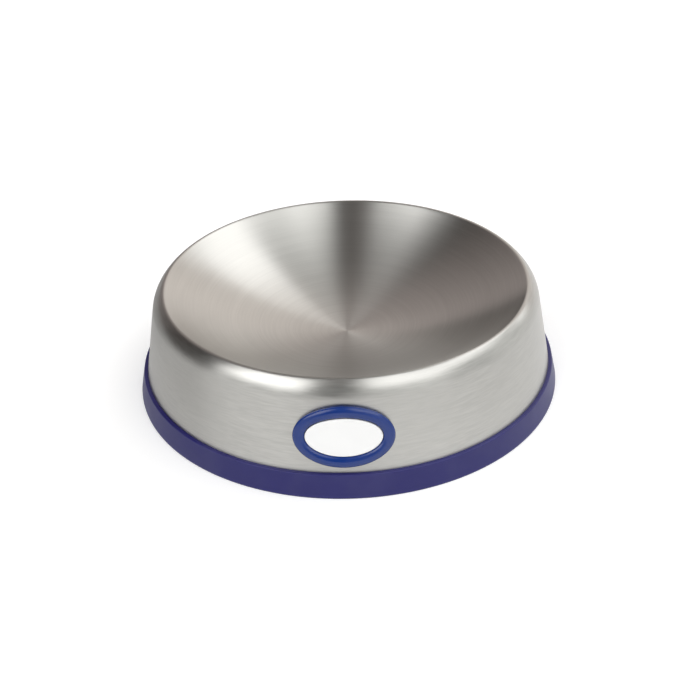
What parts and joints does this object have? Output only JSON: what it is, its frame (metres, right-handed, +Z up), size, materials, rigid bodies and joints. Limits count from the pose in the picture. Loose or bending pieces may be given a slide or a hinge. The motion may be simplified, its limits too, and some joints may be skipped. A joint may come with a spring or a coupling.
{
  "type": "cat bowl",
  "caption": "Low round cat bowl: brushed steel dish with rolled rim and flared skirt, a bonded rubber base ring that grips the floor and an oval rubber badge with a blank plate.",
  "frame": {"origin": "on the floor, in the middle of the base ring's sole", "axes": "+Z up along the bowl's axis, -Y towards the badge, +X to the right of someone who faces the badge"},
  "size_m": [0.1646, 0.1646, 0.0419],
  "materials": {
    "brushed_steel": "satin",
    "ring_rubber": "matte",
    "badge_rubber": "satin",
    "badge_enamel": "gloss",
    "adhesive": "matte"
  },
  "bodies": {
    "root": {"steel_bowl": "brushed_steel", "base_ring": "ring_rubber", "ring_bond": "adhesive", "badge_pad": "adhesive", "badge_bezel": "badge_rubber", "badge_plate": "badge_enamel"}
  },
  "joints": []
}
